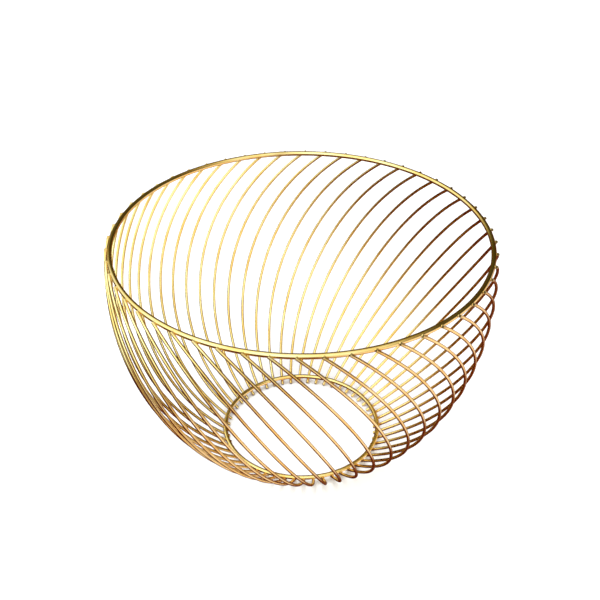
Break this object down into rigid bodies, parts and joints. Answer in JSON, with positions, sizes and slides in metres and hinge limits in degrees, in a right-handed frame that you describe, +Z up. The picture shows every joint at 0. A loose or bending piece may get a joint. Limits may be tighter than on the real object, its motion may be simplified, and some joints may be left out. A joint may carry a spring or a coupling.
{
  "type": "wire produce basket",
  "caption": "Open round basket for fruit and produce, with leaning arcs of gold-finished steel wire that swirl from a rim ring down to a small base ring.",
  "frame": {"origin": "on the floor under the centre of the basket, on its axis", "axes": "+Z up along the basket's axis of repetition; X and Y level"},
  "size_m": [0.2506, 0.2506, 0.1615],
  "materials": {
    "gold_plated_wire": "polished gold-tone plating over round steel wire"
  },
  "bodies": {
    "root": {"rim_ring": "gold_plated_wire", "base_ring": "gold_plated_wire", "swirl_wire_01": "gold_plated_wire", "swirl_wire_02": "gold_plated_wire", "swirl_wire_03": "gold_plated_wire", "swirl_wire_04": "gold_plated_wire", "swirl_wire_05": "gold_plated_wire", "swirl_wire_06": "gold_plated_wire", "swirl_wire_07": "gold_plated_wire", "swirl_wire_08": "gold_plated_wire", "swirl_wire_09": "gold_plated_wire", "swirl_wire_10": "gold_plated_wire", "swirl_wire_11": "gold_plated_wire", "swirl_wire_12": "gold_plated_wire", "swirl_wire_13": "gold_plated_wire", "swirl_wire_14": "gold_plated_wire", "swirl_wire_15": "gold_plated_wire", "swirl_wire_16": "gold_plated_wire", "swirl_wire_17": "gold_plated_wire", "swirl_wire_18": "gold_plated_wire", "swirl_wire_19": "gold_plated_wire", "swirl_wire_20": "gold_plated_wire", "swirl_wire_21": "gold_plated_wire", "swirl_wire_22": "gold_plated_wire", "swirl_wire_23": "gold_plated_wire", "swirl_wire_24": "gold_plated_wire", "swirl_wire_25": "gold_plated_wire", "swirl_wire_26": "gold_plated_wire", "swirl_wire_27": "gold_plated_wire", "swirl_wire_28": "gold_plated_wire", "swirl_wire_29": "gold_plated_wire", "swirl_wire_30": "gold_plated_wire", "swirl_wire_31": "gold_plated_wire", "swirl_wire_32": "gold_plated_wire", "swirl_wire_33": "gold_plated_wire", "swirl_wire_34": "gold_plated_wire", "swirl_wire_35": "gold_plated_wire", "swirl_wire_36": "gold_plated_wire", "swirl_wire_37": "gold_plated_wire", "swirl_wire_38": "gold_plated_wire", "swirl_wire_39": "gold_plated_wire", "swirl_wire_40": "gold_plated_wire", "swirl_wire_41": "gold_plated_wire", "swirl_wire_42": "gold_plated_wire", "swirl_wire_43": "gold_plated_wire", "swirl_wire_44": "gold_plated_wire", "swirl_wire_45": "gold_plated_wire", "swirl_wire_46": "gold_plated_wire", "swirl_wire_47": "gold_plated_wire", "swirl_wire_48": "gold_plated_wire", "swirl_wire_49": "gold_plated_wire", "swirl_wire_50": "gold_plated_wire", "swirl_wire_51": "gold_plated_wire", "swirl_wire_52": "gold_plated_wire"}
  },
  "joints": []
}
